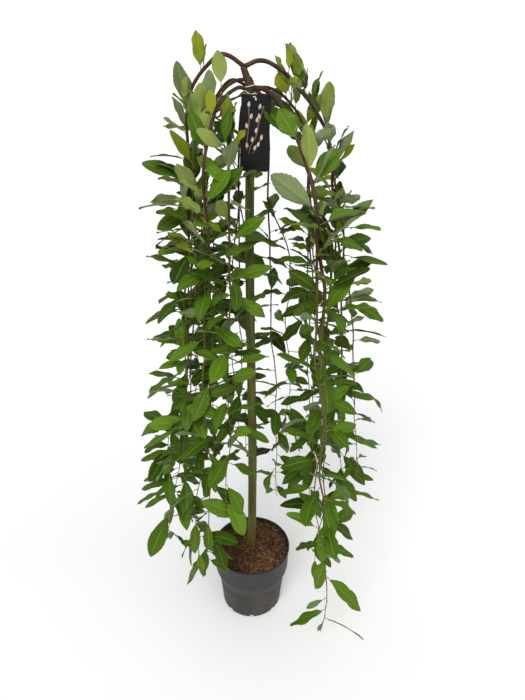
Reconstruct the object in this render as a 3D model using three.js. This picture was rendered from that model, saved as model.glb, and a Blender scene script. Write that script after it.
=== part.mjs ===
// Weeping willow grafted as a small standard, in a round plastic nursery pot.
// Millimetres, +Z up. The origin is the centre of the pot's flat underside.
// Azimuths are in degrees about the trunk, from +X towards +Y; -90 is the open front.

import * as THREE from 'three';

// ---- driving dimensions ----------------------------------------------------

const GAP = 0.3;                  // between solids that touch

const POT_HEIGHT = 195;
const POT_RIM_RADIUS = 105;
const POT_BAND_RADIUS = 102.5;      // foot of the wide upper band
const POT_WAIST_RADIUS = 89.5;      // below the step under the band
const POT_FOOT_RADIUS = 83;
const POT_BAND_FOOT = 133;          // height where the band ends
const POT_STEP_FOOT = 104;          // height where the step ends
const POT_WALL = 2;
const POT_LIP = 1.5;                // how far the rolled rim stands out
const POT_SIDES = 36;

const SOIL_EDGE = 184;              // height of the compost at the pot's wall
const SOIL_CROWN = 197;             // and round the trunk
const SOIL_SIDES = 24;

const TRUNK_TOP = 1322;
const TRUNK_FLARE_RADIUS = 14.5;  // at the soil
const TRUNK_FOOT_RADIUS = 11.5;   // above the flare
const TRUNK_TOP_RADIUS = 8.6;
const TRUNK_FLARE_HEIGHT = 30;
const TRUNK_BOW = 2.5;            // sideways bow of the nearly straight stem
const TRUNK_SIDES = 12;

const LEADER_TOP = 1371;          // the short leaning stub above the graft
const LEADER_LEAN = 13;           // its sideways reach, towards -X
const LEADER_RADII = [9.2, 5.6];

const LIMB_SIDES = 8;
const LIMB_STEP = 13;             // spacing of a limb's rings
const LIMB_LEAST = 20;            // a shorter piece of limb is not made
const MASS_SIDES = 12;
const MASS_STEP = 60;             // spacing of a foliage mass's rings
const MASS_CLEAR = 7;             // room between a limb's end and its mass
const MASS_LUMP = 0.15;           // how deep the lumps of a mass are, as a share
const TOP_SHARE = 0.08;           // share of a mass that rounds off at the top
const HEM_SHARE = 0.2;            // and that draws in to the hanging tip

const TAG_WIDTH = 54;
const TAG_HEIGHT = 133;
const TAG_THICKNESS = 1;
const TAG_CORNER = 4;
const TAG_TOP = 1326;
const TAG_OFFSET = { x: 11, y: -21 };
const TAG_TURN = 2;               // degrees about its own face
const TAG_HOLE = { radius: 2.5, drop: 7 };

// Each weeping limb leaves the head at root, arches over crest and shoulder and hangs
// from hang. The stations are [reach from the trunk's axis, height]; azimuth runs from
// the root to the hanging part, and radii from the root to the end.
const LIMBS = {
  right: {
    azimuth: [5, 5], root: [-1, 1375], crest: [24, 1381], shoulder: [92, 1333],
    hang: [138, 1200], radii: [4.1, 3.2],
  },
  left: {
    azimuth: [174, 172], root: [20, 1377], crest: [50, 1391], shoulder: [92, 1354],
    hang: [122, 1180], radii: [4.1, 3.2],
  },
  front_right: {
    azimuth: [-25, -55], root: [12, 1336], crest: [34, 1333], shoulder: [108, 1281],
    hang: [180, 1180], radii: [4.6, 3.7],
  },
  back_right: {
    azimuth: [22, 41], root: [12, 1334], crest: [34, 1338], shoulder: [100, 1305],
    hang: [146, 1180], radii: [3, 2.4],
  },
  left_front: {
    azimuth: [203, 209], root: [13, 1350], crest: [32, 1347], shoulder: [76, 1309],
    hang: [118, 1200], radii: [3.2, 2.6],
  },
  front_left: {
    azimuth: [236, 233], root: [12, 1333], crest: [36, 1337], shoulder: [96, 1306],
    hang: [134, 1225], radii: [3.4, 2.8],
  },
  back_left: {
    azimuth: [125, 104], root: [11, 1306], crest: [28, 1309], shoulder: [66, 1273],
    hang: [112, 1140], radii: [2.6, 2.2],
  },
  front: {
    azimuth: [210, 250], root: [13, 1250], crest: [44, 1268], shoulder: [78, 1258],
    hang: [106, 1170], radii: [2.8, 2.4],
  },
  back: {
    azimuth: [62, 72], root: [12, 1322], crest: [36, 1330], shoulder: [88, 1290],
    hang: [123, 1175], radii: [2.8, 2.3],
  },
  left_back: {
    azimuth: [150, 139], root: [13, 1342], crest: [42, 1350], shoulder: [96, 1304],
    hang: [134, 1180], radii: [3, 2.4],
  },
};

// Each mass of hanging foliage fills a sector: azimuth of its middle, spread to either
// side, top and foot heights, and its inner and outer reach at five even heights from
// the top to the foot.
const MASSES = {
  right: {
    azimuth: 2, spread: 18, top: 1404, foot: 262,
    inner: [86, 116, 132, 146, 190], outer: [128, 228, 296, 308, 322],
  },
  left: {
    azimuth: 173, spread: 14, top: 1432, foot: 190,
    inner: [78, 86, 104, 118, 180], outer: [124, 184, 220, 300, 310],
  },
  front_right: {
    azimuth: -50, spread: 18, top: 1272, foot: 34,
    inner: [112, 144, 156, 176, 215], outer: [196, 276, 304, 338, 334],
  },
  back_right: {
    azimuth: 36, spread: 13.5, top: 1345, foot: 200,
    inner: [88, 102, 112, 126, 165], outer: [136, 208, 250, 292, 282],
  },
  left_front: {
    azimuth: 204, spread: 13, top: 1398, foot: 240,
    inner: [82, 86, 94, 108, 165], outer: [118, 168, 202, 270, 292],
  },
  front_left: {
    azimuth: 231, spread: 10.5, top: 1236, foot: 112,
    inner: [104, 92, 92, 110, 160], outer: [160, 188, 204, 258, 272],
  },
  back_left: {
    azimuth: 101, spread: 16.5, top: 1262, foot: 280,
    inner: [74, 76, 78, 88, 118], outer: [126, 190, 220, 252, 244],
  },
  front: {
    azimuth: 252, spread: 9, top: 1228, foot: 250,
    inner: [70, 62, 62, 72, 120], outer: [124, 170, 200, 230, 236],
  },
  back: {
    azimuth: 66, spread: 14, top: 1262, foot: 150,
    inner: [84, 84, 86, 98, 125], outer: [138, 204, 236, 268, 256],
  },
  left_back: {
    azimuth: 138, spread: 16, top: 1388, foot: 210,
    inner: [80, 90, 100, 112, 165], outer: [120, 186, 224, 280, 292],
  },
};

// ---- materials -------------------------------------------------------------

const finish = (color, roughness, metalness = 0) => ({ color, roughness, metalness });

const FINISHES = {
  pot: finish(0x4a4b4c, 0.55),
  compost: finish(0x5a3c26, 0.95),
  trunk_bark: finish(0x5d6331, 0.7),
  limb_bark: finish(0x5c3b2c, 0.6),
  foliage: finish(0x3f7a1c, 0.5),
  tag: finish(0x1a1a1e, 0.45),
};

const meshOf = (name, geometry, finishName) => {
  const mesh = new THREE.Mesh(geometry, new THREE.MeshStandardMaterial(FINISHES[finishName]));
  mesh.name = name;
  return mesh;
};

// ---- helpers ---------------------------------------------------------------

// A point at a reach and azimuth about the trunk's axis.
const polar = (reach, azimuth, height) => {
  const angle = THREE.MathUtils.degToRad(azimuth);
  return new THREE.Vector3(reach * Math.cos(angle), reach * Math.sin(angle), height);
};

// A value read at share 0 to 1 along evenly spaced stations, eased between them.
const along = (stations, share) => {
  const place = THREE.MathUtils.clamp(share, 0, 1) * (stations.length - 1);
  const index = Math.min(Math.floor(place), stations.length - 2);
  const ease = THREE.MathUtils.smoothstep(place - index, 0, 1);
  return THREE.MathUtils.lerp(stations[index], stations[index + 1], ease);
};

// A closed body through rings of points that run counterclockwise about the way the
// rings follow each other, with a middle point at each end.
const loft = (rings, first, last) => {
  const sides = rings[0].length;
  const points = [first, ...rings.flat(), last];
  const end = points.length - 1;
  const at = (ring, side) => 1 + ring * sides + (side % sides);
  const faces = [];
  for (let side = 0; side < sides; side += 1) {
    faces.push(0, at(0, side + 1), at(0, side));
    faces.push(end, at(rings.length - 1, side), at(rings.length - 1, side + 1));
    for (let ring = 0; ring < rings.length - 1; ring += 1) {
      faces.push(at(ring, side), at(ring, side + 1), at(ring + 1, side + 1));
      faces.push(at(ring, side), at(ring + 1, side + 1), at(ring + 1, side));
    }
  }
  const geometry = new THREE.BufferGeometry();
  geometry.setAttribute('position', new THREE.Float32BufferAttribute(points.flatMap((p) => p.toArray()), 3));
  geometry.setIndex(faces);
  geometry.computeVertexNormals();
  return geometry;
};

// A round ring square to a direction.
const ringAt = (centre, direction, radius, sides) => {
  const across = new THREE.Vector3(0, 1, 0).cross(direction);
  if (across.lengthSq() < 0.01) {
    across.set(1, 0, 0).cross(direction);
  }
  across.normalize();
  const third = direction.clone().cross(across).normalize();
  return Array.from({ length: sides }, (_, side) => {
    const turn = (2 * Math.PI * side) / sides;
    return centre.clone()
      .addScaledVector(across, radius * Math.cos(turn))
      .addScaledVector(third, radius * Math.sin(turn));
  });
};

// A tapering limb along points, with its radius given for the share of its length.
const limbSolid = (points, radiusAt, sides) => {
  const curve = new THREE.CatmullRomCurve3(points, false, 'centripetal');
  const steps = Math.max(3, Math.round(curve.getLength() / LIMB_STEP));
  const shares = Array.from({ length: steps + 1 }, (_, step) => step / steps);
  const rings = shares.map((share) => ringAt(
    curve.getPointAt(share), curve.getTangentAt(share), radiusAt(share), sides,
  ));
  return loft(rings, curve.getPointAt(0), curve.getPointAt(1));
};

// ---- pot and compost -------------------------------------------------------

const lathe = (profile, sides) => {
  const geometry = new THREE.LatheGeometry(profile.map(([r, z]) => new THREE.Vector2(r, z)), sides);
  return geometry.rotateX(Math.PI / 2);
};

// The wall's outer radii, shrunk by inset to give the inside as well.
const potWall = (inset) => {
  const step = 5;
  const wall = [[POT_FOOT_RADIUS - inset, 4], [POT_WAIST_RADIUS - inset, POT_STEP_FOOT]];
  for (let i = 1; i < step; i += 1) {
    const share = i / step;
    const radius = THREE.MathUtils.lerp(POT_WAIST_RADIUS, POT_BAND_RADIUS, share ** 2 * (3 - 2 * share));
    wall.push([radius - inset, THREE.MathUtils.lerp(POT_STEP_FOOT, POT_BAND_FOOT, share)]);
  }
  wall.push([POT_BAND_RADIUS - inset, POT_BAND_FOOT]);
  return wall;
};

const potSolid = () => {
  const outside = [
    [0, 0],
    [POT_FOOT_RADIUS - 4, 0],
    ...potWall(0),
    [POT_RIM_RADIUS - POT_LIP, POT_HEIGHT - 8],
    [POT_RIM_RADIUS, POT_HEIGHT - 6],
    [POT_RIM_RADIUS, POT_HEIGHT],
  ];
  const inside = [
    [POT_RIM_RADIUS - POT_LIP - POT_WALL, POT_HEIGHT],
    ...potWall(POT_WALL).reverse(),
    [0, 4],
  ];
  return lathe([...outside, ...inside], POT_SIDES);
};

// The compost sits on the pot's floor and fills it to below the rim.
const compostSolid = () => {
  const wall = potWall(POT_WALL + 1);
  const edge = POT_BAND_RADIUS - POT_WALL - 1;
  const profile = [
    [0, 4 + GAP],
    [wall[0][0], 4 + GAP],
    ...wall.slice(1),
    [edge, SOIL_EDGE],
    [edge * 0.6, SOIL_EDGE + 0.5 * (SOIL_CROWN - SOIL_EDGE)],
    [edge * 0.25, SOIL_CROWN],
    [0, SOIL_CROWN],
  ];
  return lathe(profile, SOIL_SIDES);
};

// ---- trunk and leader ------------------------------------------------------

const trunkSolid = () => {
  const foot = SOIL_CROWN + GAP;
  const heights = [foot, foot + TRUNK_FLARE_HEIGHT / 3, foot + TRUNK_FLARE_HEIGHT];
  for (let height = 280; height < TRUNK_TOP - 40; height += 95) {
    heights.push(height);
  }
  heights.push(TRUNK_TOP);
  const rings = heights.map((height) => {
    const share = (height - foot) / (TRUNK_TOP - foot);
    const flare = Math.max(0, 1 - (height - foot) / TRUNK_FLARE_HEIGHT) ** 2;
    const radius = THREE.MathUtils.lerp(TRUNK_FOOT_RADIUS, TRUNK_TOP_RADIUS, share)
      + flare * (TRUNK_FLARE_RADIUS - TRUNK_FOOT_RADIUS);
    const bow = TRUNK_BOW * Math.sin(2 * Math.PI * share);
    return ringAt(new THREE.Vector3(bow, 0, height), new THREE.Vector3(0, 0, 1), radius, TRUNK_SIDES);
  });
  return loft(rings, new THREE.Vector3(0, 0, foot), new THREE.Vector3(0, 0, TRUNK_TOP));
};

const leaderSolid = () => {
  const points = [
    new THREE.Vector3(0, 0, TRUNK_TOP + GAP),
    new THREE.Vector3(-1, 0, TRUNK_TOP + 14),
    new THREE.Vector3(-0.45 * LEADER_LEAN, 0, TRUNK_TOP + 30),
    new THREE.Vector3(-LEADER_LEAN, 0, LEADER_TOP),
  ];
  const swell = (share) => THREE.MathUtils.lerp(...LEADER_RADII, share);
  const rings = points.map((point, index) => {
    const direction = index === 0
      ? new THREE.Vector3(0, 0, 1)
      : points[Math.min(index + 1, 3)].clone().sub(points[index - 1]).normalize();
    return ringAt(point, direction, swell(index / 3), TRUNK_SIDES);
  });
  return loft(rings, points[0], points[3]);
};

// ---- foliage masses --------------------------------------------------------

const massSize = (mass, height) => {
  const share = (mass.top - height) / (mass.top - mass.foot);
  const full = Math.sqrt(Math.min(1, share / TOP_SHARE) * Math.min(1, (1 - share) / HEM_SHARE));
  const inner = along(mass.inner, share);
  const outer = along(mass.outer, share);
  return { middle: (inner + outer) / 2, depth: (full * (outer - inner)) / 2, spread: full * mass.spread };
};

// Slow lumps round and up a mass, between -1 and 1, different for each mass.
const lumps = (index, turn, height) => 0.6 * Math.sin(2 * turn + 1.9 * index + height / 71)
  + 0.4 * Math.sin(3 * turn - 2.7 * index - height / 43);

const massPoint = (mass, index, height, turn) => {
  const size = massSize(mass, height);
  const uneven = MASS_LUMP * lumps(index, turn, height);
  return polar(
    size.middle + size.depth * (1 + uneven) * Math.cos(turn),
    mass.azimuth + size.spread * (1 - MASS_LUMP + uneven) * Math.sin(turn),
    height,
  );
};

// Rings from the top down, so they run clockwise seen from above.
const massSolid = (mass, index) => {
  const levels = Math.round((mass.top - mass.foot) / MASS_STEP);
  const rings = Array.from({ length: levels }, (_, level) => {
    const share = (level + 0.3) / (levels - 0.4);
    const height = THREE.MathUtils.lerp(mass.top, mass.foot, share);
    return Array.from({ length: MASS_SIDES }, (_item, side) => (
      massPoint(mass, index, height, (-2 * Math.PI * side) / MASS_SIDES)
    ));
  });
  const tip = (height) => polar(massSize(mass, height).middle, mass.azimuth, height);
  return loft(rings, tip(mass.top), tip(mass.foot));
};

// True where a point lies inside a mass grown all round by a clearance.
const reaches = (mass, point, clearance) => {
  if (point.z > mass.top + clearance || point.z < mass.foot - clearance) {
    return false;
  }
  const height = THREE.MathUtils.clamp(point.z, mass.foot, mass.top - MASS_STEP / 2);
  const size = massSize(mass, height);
  const reach = Math.hypot(point.x, point.y);
  const azimuth = THREE.MathUtils.radToDeg(Math.atan2(point.y, point.x));
  const aside = THREE.MathUtils.euclideanModulo(azimuth - mass.azimuth + 180, 360) - 180;
  const depth = (reach - size.middle) / (size.depth + clearance);
  const width = aside / (size.spread + THREE.MathUtils.radToDeg(clearance / reach));
  return depth ** 2 + width ** 2 < 1;
};

// ---- limbs -----------------------------------------------------------------

// The limb's points from its root to where it meets its mass, as two lists split at
// the shoulder.
const limbRoute = (limb, mass) => {
  const turns = [0, 0.25, 0.75, 1];
  const stations = [limb.root, limb.crest, limb.shoulder, limb.hang].map(([reach, height], index) => (
    polar(reach, THREE.MathUtils.lerp(...limb.azimuth, turns[index]), height)
  ));
  const curve = new THREE.CatmullRomCurve3(stations, false, 'centripetal');
  const samples = curve.getSpacedPoints(60);
  const entry = samples.findIndex((point) => reaches(mass, point, MASS_CLEAR));
  const route = entry < 0 ? samples : samples.slice(0, entry);
  const shoulder = stations[2];
  const bend = route.findIndex((point) => Math.hypot(point.x, point.y) > Math.hypot(shoulder.x, shoulder.y));
  return bend < 0 ? [route] : [route.slice(0, bend + 1), route.slice(bend)];
};

const lengthOf = (points) => points.slice(1).reduce((sum, point, index) => sum + point.distanceTo(points[index]), 0);

// One mesh for each straight-running piece of a limb: the rise, and the fall past the
// shoulder where it shows.
const limbMeshes = (name) => {
  const limb = LIMBS[name];
  const pieces = limbRoute(limb, MASSES[name]).filter((points) => lengthOf(points) > LIMB_LEAST);
  const total = pieces.reduce((sum, points) => sum + lengthOf(points), 0);
  let done = 0;
  return pieces.map((points, index) => {
    const start = done / total;
    done += lengthOf(points);
    const stop = done / total;
    const radiusAt = (share) => THREE.MathUtils.lerp(...limb.radii, THREE.MathUtils.lerp(start, stop, share));
    const thinned = points.filter((_, place) => place % 4 === 0 || place === points.length - 1);
    if (index > 0) {
      const away = thinned[1].clone().sub(thinned[0]).normalize();
      thinned[0] = thinned[0].clone().addScaledVector(away, 3 * GAP);
    }
    const part = index === 0 ? 'rise' : 'fall';
    return meshOf(`bough_${name}_${part}`, limbSolid(thinned, radiusAt, LIMB_SIDES), 'limb_bark');
  });
};

// ---- hang tag --------------------------------------------------------------

const tagSolid = () => {
  const outline = new THREE.Shape();
  const right = TAG_WIDTH / 2;
  const corner = TAG_CORNER;
  outline.moveTo(-right + corner, -TAG_HEIGHT);
  outline.lineTo(right - corner, -TAG_HEIGHT);
  outline.absarc(right - corner, corner - TAG_HEIGHT, corner, -Math.PI / 2, 0);
  outline.lineTo(right, -corner);
  outline.absarc(right - corner, -corner, corner, 0, Math.PI / 2);
  outline.lineTo(-right + corner, 0);
  outline.absarc(-right + corner, -corner, corner, Math.PI / 2, Math.PI);
  outline.lineTo(-right, corner - TAG_HEIGHT);
  outline.absarc(-right + corner, corner - TAG_HEIGHT, corner, Math.PI, 1.5 * Math.PI);
  const hole = new THREE.Path();
  hole.absarc(0, -TAG_HOLE.drop, TAG_HOLE.radius, 0, 2 * Math.PI, true);
  outline.holes.push(hole);
  const card = new THREE.ExtrudeGeometry(outline, {
    depth: TAG_THICKNESS, bevelEnabled: false, curveSegments: 4,
  });
  return card.rotateX(Math.PI / 2);
};

const tagMesh = () => {
  const tag = meshOf('hang_tag', tagSolid(), 'tag');
  tag.position.set(TAG_OFFSET.x, TAG_OFFSET.y, TAG_TOP);
  tag.rotation.y = THREE.MathUtils.degToRad(TAG_TURN);
  return tag;
};

// ---- the whole plant -------------------------------------------------------

const group = new THREE.Group();
group.add(meshOf('pot', potSolid(), 'pot'));
group.add(meshOf('compost', compostSolid(), 'compost'));
group.add(meshOf('trunk', trunkSolid(), 'trunk_bark'));
group.add(meshOf('leader', leaderSolid(), 'limb_bark'));

const boughs = new THREE.Group();
Object.keys(LIMBS).forEach((name) => boughs.add(...limbMeshes(name)));
group.add(boughs);

const foliage = new THREE.Group();
Object.entries(MASSES).forEach(([name, mass], index) => {
  foliage.add(meshOf(`foliage_${name}`, massSolid(mass, index), 'foliage'));
});
group.add(foliage);
group.add(tagMesh());

export default group;
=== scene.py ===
import math

import bpy
import numpy as np
from mathutils import Euler, Matrix, Vector


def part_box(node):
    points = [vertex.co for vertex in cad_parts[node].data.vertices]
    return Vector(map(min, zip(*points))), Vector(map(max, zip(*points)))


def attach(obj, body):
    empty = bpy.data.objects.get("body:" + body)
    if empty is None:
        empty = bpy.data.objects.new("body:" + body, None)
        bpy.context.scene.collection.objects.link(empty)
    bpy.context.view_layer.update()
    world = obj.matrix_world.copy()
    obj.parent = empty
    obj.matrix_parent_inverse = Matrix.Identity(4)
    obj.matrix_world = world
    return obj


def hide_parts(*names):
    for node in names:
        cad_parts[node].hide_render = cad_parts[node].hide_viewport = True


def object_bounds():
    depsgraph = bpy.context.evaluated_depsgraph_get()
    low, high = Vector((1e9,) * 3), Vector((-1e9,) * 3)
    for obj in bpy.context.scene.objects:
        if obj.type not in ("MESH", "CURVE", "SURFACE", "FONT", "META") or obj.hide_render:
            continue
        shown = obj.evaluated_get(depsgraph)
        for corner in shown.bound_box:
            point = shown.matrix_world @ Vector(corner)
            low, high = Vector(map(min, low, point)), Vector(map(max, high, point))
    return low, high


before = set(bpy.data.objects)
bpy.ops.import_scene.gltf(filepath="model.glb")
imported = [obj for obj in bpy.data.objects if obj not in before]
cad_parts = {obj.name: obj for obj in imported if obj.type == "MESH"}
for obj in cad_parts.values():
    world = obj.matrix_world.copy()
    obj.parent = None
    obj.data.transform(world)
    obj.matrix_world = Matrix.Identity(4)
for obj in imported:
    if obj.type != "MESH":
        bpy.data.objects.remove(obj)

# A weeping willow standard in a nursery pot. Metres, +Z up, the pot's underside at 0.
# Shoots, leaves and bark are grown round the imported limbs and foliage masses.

CAD_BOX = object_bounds()
MM = 0.001
UP = np.array([0.0, 0.0, 1.0])
rng = np.random.default_rng(20)


# ---- camera, light and floor -------------------------------------------------------

CAMERA_PLACE = (0.010, -1.077, 1.335)
CAMERA_DOWN = 26.4        # degrees below the horizon
CAMERA_TURN = 0.85        # degrees towards +X
CAMERA_ROLL = 0.45        # degrees anticlockwise
CAMERA_LENS = 27.05       # on a 36 mm long side


def make_camera():
    data = bpy.data.cameras.new("camera")
    data.sensor_width = 36
    data.lens = CAMERA_LENS
    data.clip_start = 0.05
    camera = bpy.data.objects.new("camera", data)
    camera.location = CAMERA_PLACE
    aim = Euler((math.radians(90 - CAMERA_DOWN), 0, math.radians(-CAMERA_TURN))).to_matrix()
    camera.rotation_euler = (aim @ Matrix.Rotation(math.radians(CAMERA_ROLL), 3, "Z")).to_euler()
    bpy.context.scene.collection.objects.link(camera)
    bpy.context.scene.camera = camera


def make_lamp(name, azimuth, elevation, strength, spread):
    """A broad soft light that falls on the whole floor, from an azimuth and a height in degrees."""
    data = bpy.data.lights.new(name, "SUN")
    data.energy = strength
    data.angle = math.radians(spread)
    lamp = bpy.data.objects.new(name, data)
    turn, rise = math.radians(azimuth), math.radians(elevation)
    place = Vector((math.cos(turn) * math.cos(rise), math.sin(turn) * math.cos(rise), math.sin(rise)))
    lamp.location = place * 3
    lamp.rotation_euler = (-place).to_track_quat("-Z", "Y").to_euler()
    bpy.context.scene.collection.objects.link(lamp)


def make_studio():
    """A white room: soft light from all round, two broad lamps above the front, a pale floor."""
    world = bpy.data.worlds.new("studio")
    world.use_nodes = True
    nodes, links = world.node_tree.nodes, world.node_tree.links
    wall = nodes.new("ShaderNodeBackground")
    wall.inputs["Color"].default_value = (1, 1, 1, 1)
    wall.inputs["Strength"].default_value = 1.1
    soft = nodes["Background"]
    soft.inputs["Color"].default_value = (1, 1, 1, 1)
    soft.inputs["Strength"].default_value = 0.62
    mixer, path = nodes.new("ShaderNodeMixShader"), nodes.new("ShaderNodeLightPath")
    links.new(path.outputs["Is Camera Ray"], mixer.inputs["Fac"])
    links.new(soft.outputs["Background"], mixer.inputs[1])
    links.new(wall.outputs["Background"], mixer.inputs[2])
    links.new(mixer.outputs["Shader"], nodes["World Output"].inputs["Surface"])
    bpy.context.scene.world = world
    bpy.context.scene.view_settings.view_transform = "Standard"
    make_lamp("key", -108, 44, 1.75, 34)
    make_lamp("fill", -38, 42, 0.60, 60)

    mesh = bpy.data.meshes.new("floor")
    edge = [(60 * math.cos(turn), 60 * math.sin(turn), 0) for turn in angles(64)]
    mesh.from_pydata(edge, [], [list(range(64))])
    floor = bpy.data.objects.new("floor", mesh)
    bpy.context.scene.collection.objects.link(floor)
    mesh.materials.append(plain("floor_white", (0.93, 0.93, 0.93), 0.9, 0.1))


# ---- materials ---------------------------------------------------------------------

def plain(name, colour, roughness, specular=0.5):
    """A material of one colour, set on the shader's own sockets."""
    material = bpy.data.materials.new(name)
    material.use_nodes = True
    shader = material.node_tree.nodes["Principled BSDF"]
    shader.inputs["Base Color"].default_value = (*colour, 1)
    shader.inputs["Roughness"].default_value = roughness
    shader.inputs["Specular IOR Level"].default_value = specular
    material.diffuse_color = (*colour, 1)
    return material


def plains(name, tints, roughness, specular=0.5):
    return [plain(f"{name}_{i}", tint, roughness, specular) for i, tint in enumerate(tints)]


class Pattern:
    """Builds a node material in small steps, each returning the socket that it makes."""

    def __init__(self, name, roughness):
        self.material = bpy.data.materials.new(name)
        self.material.use_nodes = True
        self.tree = self.material.node_tree
        self.shader = self.tree.nodes["Principled BSDF"]
        self.shader.inputs["Roughness"].default_value = roughness
        self.shader.inputs["Specular IOR Level"].default_value = 0.2
        self.place = self.tree.nodes.new("ShaderNodeTexCoord").outputs["Object"]

    def node(self, kind, inputs, **settings):
        made = self.tree.nodes.new(kind)
        for key, value in settings.items():
            setattr(made, key, value)
        for key, value in inputs.items():
            socket = made.inputs[key]
            if isinstance(value, bpy.types.NodeSocket):
                self.tree.links.new(value, socket)
            else:
                socket.default_value = value
        return made

    def stretched(self, scale):
        return self.node("ShaderNodeMapping", {"Vector": self.place, "Scale": scale}).outputs["Vector"]

    def noise(self, scale, detail, stretch=(1, 1, 1)):
        inputs = {"Vector": self.stretched(stretch), "Scale": scale, "Detail": detail, "Roughness": 0.6}
        return self.node("ShaderNodeTexNoise", inputs).outputs["Fac"]

    def ramp(self, factor, low, high):
        """0 where factor is low, 1 where it is high."""
        inputs = {"Value": factor, "From Min": low, "From Max": high}
        return self.node("ShaderNodeMapRange", inputs).outputs["Result"]

    def height(self, low, high):
        """0 at height low, 1 at height high."""
        split = self.node("ShaderNodeSeparateXYZ", {"Vector": self.place})
        return self.ramp(split.outputs["Z"], low, high)

    def product(self, a, b):
        return self.node("ShaderNodeMath", {0: a, 1: b}, operation="MULTIPLY").outputs["Value"]

    def mix(self, factor, a, b):
        """Colour a where factor is 0 and b where it is 1."""
        mixer = self.tree.nodes.new("ShaderNodeMix")
        mixer.data_type = "RGBA"
        colours = [s for s in mixer.inputs if s.type == "RGBA"]
        for socket, value in ((mixer.inputs[0], factor), (colours[0], a), (colours[1], b)):
            if isinstance(value, bpy.types.NodeSocket):
                self.tree.links.new(value, socket)
            else:
                socket.default_value = (*value, 1) if isinstance(value, tuple) else value
        return next(s for s in mixer.outputs if s.type == "RGBA")

    def colour(self, socket):
        self.tree.links.new(socket, self.shader.inputs["Base Color"])

    def roughness(self, factor, low, high):
        inputs = {"Value": factor, "To Min": low, "To Max": high}
        socket = self.node("ShaderNodeMapRange", inputs).outputs["Result"]
        self.tree.links.new(socket, self.shader.inputs["Roughness"])

    def bump(self, factor, depth, strength):
        inputs = {"Height": factor, "Distance": depth, "Strength": strength}
        socket = self.node("ShaderNodeBump", inputs).outputs["Normal"]
        self.tree.links.new(socket, self.shader.inputs["Normal"])


def trunk_bark():
    """Smooth olive bark, browner near the soil, with paler streaks and small lenticels."""
    bark = Pattern("trunk_bark", 0.6)
    streaks = bark.noise(60, 5, (1, 1, 0.12))
    patches = bark.noise(22, 3, (1, 1, 0.4))
    base = bark.mix(bark.ramp(streaks, 0.40, 0.64), (0.034, 0.042, 0.005), (0.125, 0.142, 0.026))
    base = bark.mix(bark.ramp(patches, 0.55, 0.75), base, (0.070, 0.090, 0.010))
    foot = bark.product(bark.height(0.62, 0.20), bark.ramp(patches, 0.30, 0.62))
    base = bark.mix(bark.product(foot, 0.62), base, (0.105, 0.068, 0.018))
    base = bark.mix(bark.product(bark.height(1.29, 1.34), 0.85), base, (0.050, 0.028, 0.014))
    lenticels = bark.noise(210, 2, (1, 1, 0.55))
    bark.colour(bark.mix(bark.ramp(lenticels, 0.68, 0.74), base, (0.17, 0.14, 0.06)))
    bark.roughness(streaks, 0.45, 0.75)
    bark.bump(bark.noise(240, 4, (1, 1, 0.3)), 0.0006, 0.6)
    return bark.material


def cane_bark():
    """Purple-brown bark on the old arches that turns olive green down the hanging shoots."""
    bark = Pattern("cane_bark", 0.5)
    patches = bark.noise(55, 4, (1, 1, 0.35))
    old = bark.mix(bark.ramp(patches, 0.3, 0.7), (0.024, 0.009, 0.005), (0.092, 0.038, 0.020))
    young = bark.mix(bark.ramp(patches, 0.3, 0.7), (0.044, 0.042, 0.008), (0.125, 0.122, 0.022))
    change = bark.product(bark.ramp(bark.noise(6, 2), 0.3, 0.7), 0.45)
    lower = bark.node("ShaderNodeMath", {0: bark.height(1.20, 0.75), 1: change}, operation="ADD")
    share = bark.ramp(lower.outputs["Value"], 0.40, 1.10)
    base = bark.mix(share, old, young)
    specks = bark.noise(420, 2)
    bark.colour(bark.mix(bark.ramp(specks, 0.66, 0.74), base, (0.20, 0.13, 0.07)))
    bark.roughness(patches, 0.38, 0.65)
    bark.bump(bark.noise(500, 3, (1, 1, 0.4)), 0.0003, 0.5)
    return bark.material


def pot_plastic():
    """Dark grey polypropylene, scuffed, with dry mud splashed and run down it."""
    plastic = Pattern("pot_plastic", 0.5)
    cloud = plastic.noise(9, 5)
    streaks = plastic.noise(46, 4, (1, 1, 0.1))
    base = plastic.mix(plastic.ramp(cloud, 0.3, 0.7), (0.028, 0.029, 0.028), (0.046, 0.046, 0.043))
    base = plastic.mix(plastic.product(plastic.ramp(streaks, 0.55, 0.8), 0.45), base, (0.075, 0.068, 0.060))
    mud = plastic.product(plastic.ramp(plastic.noise(15, 7), 0.50, 0.66), plastic.height(0.20, 0.02))
    base = plastic.mix(plastic.product(mud, 0.85), base, (0.085, 0.050, 0.032))
    specks = plastic.ramp(plastic.noise(160, 3), 0.70, 0.76)
    plastic.colour(plastic.mix(specks, base, (0.100, 0.056, 0.032)))
    plastic.roughness(cloud, 0.42, 0.68)
    plastic.bump(plastic.noise(300, 3), 0.0002, 0.4)
    return plastic.material


def compost_mix():
    """Reddish coir over dark peat."""
    soil = Pattern("compost_mix", 0.95)
    patches = soil.noise(17, 6)
    grains = soil.noise(330, 4)
    base = soil.mix(soil.ramp(patches, 0.44, 0.60), (0.012, 0.007, 0.004), (0.090, 0.042, 0.018))
    base = soil.mix(soil.ramp(grains, 0.50, 0.68), base, (0.185, 0.098, 0.045))
    soil.colour(soil.mix(soil.ramp(grains, 0.46, 0.36), base, (0.012, 0.008, 0.006)))
    soil.bump(grains, 0.0016, 0.9)
    return soil.material


# ---- meshes from arrays ------------------------------------------------------------

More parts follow.
